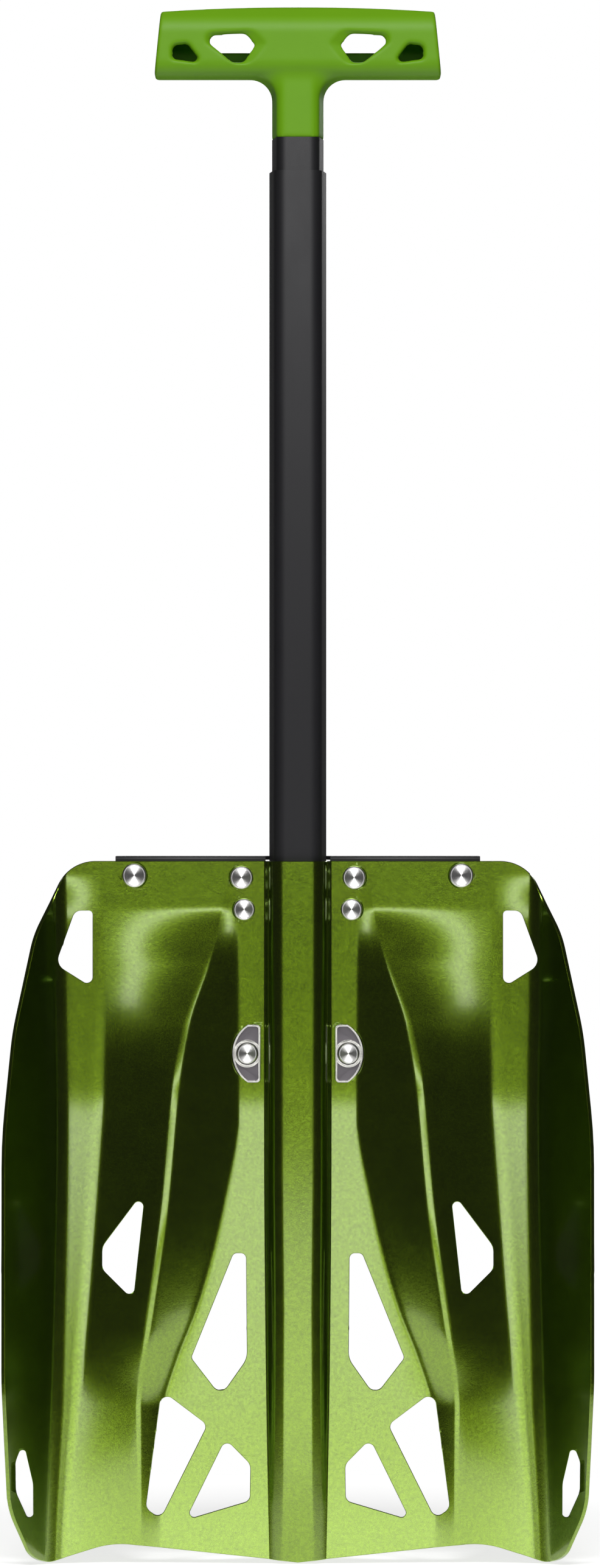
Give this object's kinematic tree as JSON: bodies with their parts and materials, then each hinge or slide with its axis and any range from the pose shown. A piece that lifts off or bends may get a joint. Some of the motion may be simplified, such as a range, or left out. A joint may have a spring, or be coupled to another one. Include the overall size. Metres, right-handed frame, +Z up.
{
  "type": "avalanche shovel",
  "caption": "Compact snow shovel: pressed scoop blade with lightening holes, telescoping shaft with push-button locks, and a hollow T-grip.",
  "frame": {"origin": "on the shaft's centreline, level with the blade's lowest point", "axes": "+Z up the shaft to the grip, +X across the blade, -Y out of the scoop side"},
  "size_m": [0.242, 0.0655, 0.6386],
  "materials": {
    "anodised_green": "satin green anodised sheet with a fine grain",
    "coated_black": "satin black coated sheet",
    "anodised_black": "matte charcoal anodised tube",
    "bare_rivet": "turned bare metal",
    "bare_washer": "stamped bare metal",
    "bare_cup": "pressed satin metal with bright edges",
    "bare_button": "polished stainless",
    "spring_steel": "rolled spring strip",
    "black_nylon": "moulded nylon",
    "moulded_green": "fine matte moulded plastic"
  },
  "bodies": {
    "blade": {"blade_pan": "anodised_green", "socket_bracket": "coated_black", "step_plate": "coated_black", "step_rivets": "bare_rivet", "upper_rivets": "bare_rivet", "middle_rivets": "bare_rivet", "lower_rivets": "bare_rivet", "plate_washers": "bare_washer", "bracket_washers": "bare_washer", "rivet_cup_left": "bare_cup", "rivet_cup_right": "bare_cup"},
    "lower_shaft": {"outer_tube": "anodised_black", "shaft_end_plug": "black_nylon", "blade_lock_spring": "spring_steel"},
    "blade_button": {"blade_lock_button": "bare_button"},
    "upper_shaft": {"inner_tube": "anodised_black", "inner_tube_plug": "black_nylon", "extension_lock_spring": "spring_steel", "t_grip": "moulded_green", "grip_rivet": "bare_rivet"},
    "extension_button": {"extension_lock_button": "bare_button"}
  },
  "joints": [
    {"name": "shaft_release", "type": "slide", "parent": "blade", "child": "lower_shaft", "axis": [0, 0, 1], "range_m": [0, 0.115], "deforming": ["blade_lock_button"]},
    {"name": "extension", "type": "slide", "parent": "lower_shaft", "child": "upper_shaft", "axis": [0, 0, 1], "range_m": [0, 0.228], "deforming": ["extension_lock_button"]},
    {"name": "blade_button_press", "type": "slide", "parent": "lower_shaft", "child": "blade_button", "axis": [0, -1, 0], "range_m": [0, 0.0042], "stiffness_N_per_m": 1500, "deforming": ["blade_lock_spring"]},
    {"name": "extension_button_press", "type": "slide", "parent": "upper_shaft", "child": "extension_button", "axis": [0, -1, 0], "range_m": [0, 0.0035], "stiffness_N_per_m": 1500, "deforming": ["extension_lock_spring"]}
  ]
}
